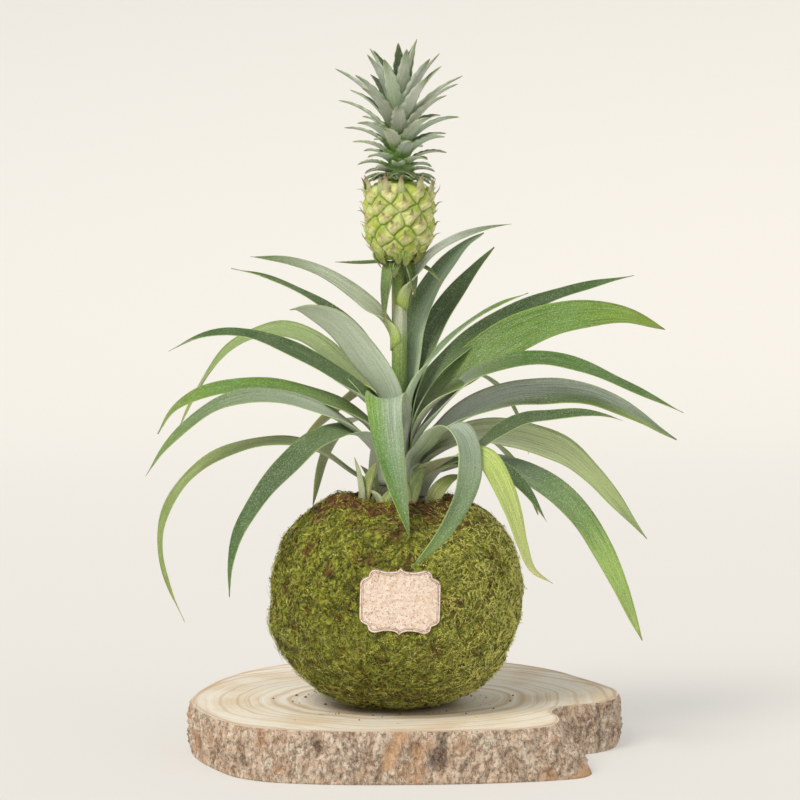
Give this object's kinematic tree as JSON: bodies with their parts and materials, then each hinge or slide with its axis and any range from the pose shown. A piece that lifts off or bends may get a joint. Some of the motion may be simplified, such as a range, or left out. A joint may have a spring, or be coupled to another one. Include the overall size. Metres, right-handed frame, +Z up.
{
  "type": "kokedama moss ball plant",
  "caption": "Small fruiting pineapple plant growing from a moss-wrapped soil ball bound with thread, with a blank cork label, resting on a bark-edged slice of tree trunk.",
  "frame": {"origin": "on the underside of the trunk slice, straight below the moss ball's centre", "axes": "+Z up along the plant, -Y towards the front with the label, +X to the right seen from the front"},
  "size_m": [0.4018, 0.3254, 0.5358],
  "materials": {
    "slice_wood": "sanded cream end grain with growth rings and rough grey-brown bark",
    "moss": "matted olive-green moss",
    "soil": "brown peat and coir fibre",
    "thread": "thin green binding thread",
    "cork": "pale speckled pressed cork",
    "stalk": "green fleshy stalk with a whitish bloom",
    "leaf": "leathery green leaf with a silver scaly underside",
    "fruit": "yellow-green young fruit with bracts",
    "crown_leaf": "grey-green crown leaf"
  },
  "bodies": {
    "root": {"trunk_slice": "slice_wood", "moss_cover": "moss", "soil_core": "soil", "binding_thread": "thread", "cork_label": "cork", "stem": "stalk", "fruit": "fruit", "crown": "crown_leaf", "leaf_back_right_upright": "leaf", "leaf_back_left_slender": "leaf", "leaf_front_right_rising": "leaf", "leaf_back_right_tall": "leaf", "leaf_left_broad": "leaf", "leaf_back_left_drooping": "leaf", "leaf_right_slender": "leaf", "leaf_back_arching": "leaf", "leaf_left_long": "leaf", "leaf_front_middle": "leaf", "leaf_right_broad": "leaf", "leaf_left_back_arching": "leaf", "leaf_front_right_hooked": "leaf", "leaf_right_arching": "leaf", "leaf_back_right_thin": "leaf", "leaf_left_upper_droop": "leaf", "leaf_front_left_hooked": "leaf", "leaf_right_long": "leaf", "leaf_back_low_right": "leaf", "leaf_back_low_left": "leaf", "leaf_left_lower_droop": "leaf", "leaf_right_green": "leaf", "leaf_right_dark": "leaf", "leaf_right_back_droop": "leaf", "leaf_back_left_low": "leaf", "leaf_right_hanging": "leaf", "leaf_front_right_yellow": "leaf", "leaf_left_thin_curl": "leaf", "leaf_right_short": "leaf", "stalk_leaf_left": "leaf", "stalk_leaf_right": "leaf", "shoot_left": "leaf", "shoot_middle": "leaf", "shoot_right": "leaf", "shoot_small": "leaf", "shoot_back": "leaf"}
  },
  "joints": []
}
